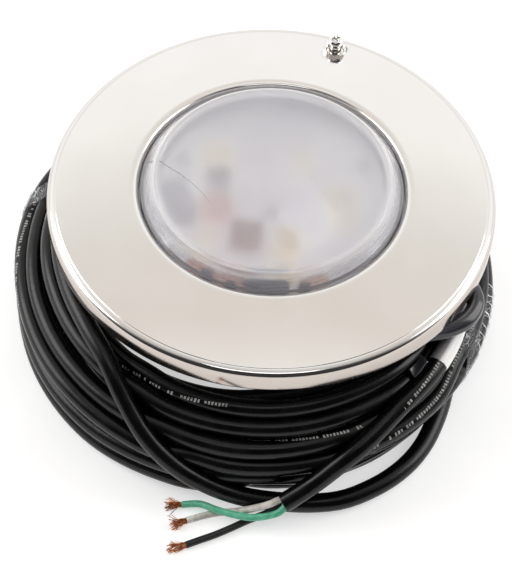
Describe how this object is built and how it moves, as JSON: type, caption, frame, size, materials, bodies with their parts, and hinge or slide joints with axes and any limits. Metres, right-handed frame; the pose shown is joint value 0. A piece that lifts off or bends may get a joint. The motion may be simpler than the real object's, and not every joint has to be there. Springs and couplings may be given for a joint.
{
  "type": "underwater pool light",
  "caption": "Round recessed underwater light: polished face ring, frosted domed lens, sealed steel shell, pilot screw, and a long coiled supply cord with bared ends.",
  "frame": {"origin": "centre of the flat back of the housing, on the surface it stands on", "axes": "+Z along the light's axis out through the lens; -Y is the side the picture looks from; the lamp's twelve o'clock with its pilot screw is 17 degrees clockwise from +Y"},
  "size_m": [0.276, 0.313, 0.1125],
  "materials": {
    "polished_steel": "polished stainless steel",
    "brushed_steel": "satin stainless steel",
    "lens": "frosted",
    "rubber": "moulded matt",
    "cord_jacket": "satin, dusty",
    "aluminium": "die cast",
    "white_board": "white solder mask",
    "green_board": "green solder mask",
    "led_resin": "phosphor yellow",
    "brass": "plain",
    "copper": "bare stranded copper",
    "black_plastic": "matt",
    "white_jacket": "satin",
    "green_jacket": "satin",
    "black_jacket": "satin",
    "label_film": "plain film",
    "clear_tape": "clear"
  },
  "bodies": {
    "light": {"face_ring": "polished_steel", "niche_hook_tab": "brushed_steel", "screw_cup": "polished_steel", "lens": "lens", "lens_gasket": "rubber", "clamp_band": "brushed_steel", "band_screw": "brushed_steel", "band_nut": "brushed_steel", "housing_shell": "brushed_steel", "cord_entry_boss": "brushed_steel", "cord_grommet": "rubber", "gland_nut": "brass", "cord_strain_relief": "rubber", "bonding_lug": "brass", "bonding_lug_screw": "brushed_steel", "heat_sink": "aluminium", "led_board": "white_board", "board_connector": "black_plastic", "driver_board": "green_board", "driver_coil": "black_plastic", "driver_capacitor": "aluminium", "lead_terminal_block": "white_board", "lead_line": "black_jacket", "lead_neutral": "white_jacket", "lead_ground": "green_jacket", "cord_exit_run": "cord_jacket", "cord_coil": "cord_jacket", "cord_loose_turn": "cord_jacket", "cord_label": "label_film", "coil_tie_left": "clear_tape", "coil_tie_right": "clear_tape", "ring_clip_1": "brushed_steel", "board_screw_1": "brushed_steel", "driver_standoff_1": "brass", "ring_clip_2": "brushed_steel", "board_screw_2": "brushed_steel", "driver_standoff_2": "brass", "ring_clip_3": "brushed_steel", "board_screw_3": "brushed_steel", "driver_standoff_3": "brass", "ring_clip_4": "brushed_steel", "board_screw_4": "brushed_steel", "driver_standoff_4": "brass", "led_emitter_1": "led_resin", "led_emitter_2": "led_resin", "led_emitter_3": "led_resin", "led_emitter_4": "led_resin", "led_emitter_5": "led_resin", "conductor_white": "white_jacket", "copper_white": "copper", "conductor_green": "green_jacket", "copper_green": "copper", "conductor_black": "black_jacket", "copper_black": "copper"},
    "screw_retainer": {"screw_retaining_washer": "rubber"},
    "pilot_screw_body": {"pilot_screw": "polished_steel"}
  },
  "joints": [
    {"name": "pilot_screw_travel", "type": "slide", "parent": "light", "child": "screw_retainer", "axis": [0, 0, 1], "range_m": [-0.008, 0]},
    {"name": "pilot_screw_turn", "type": "hinge", "parent": "screw_retainer", "child": "pilot_screw_body", "pos_m": [0.03362, 0.10998, 0.09], "axis": [0, 0, 1], "range_deg": [-2880, 0]}
  ],
  "couplings": [
    {"joint": "pilot_screw_turn", "follows": "pilot_screw_travel", "rad_per_m": 6283.2}
  ]
}
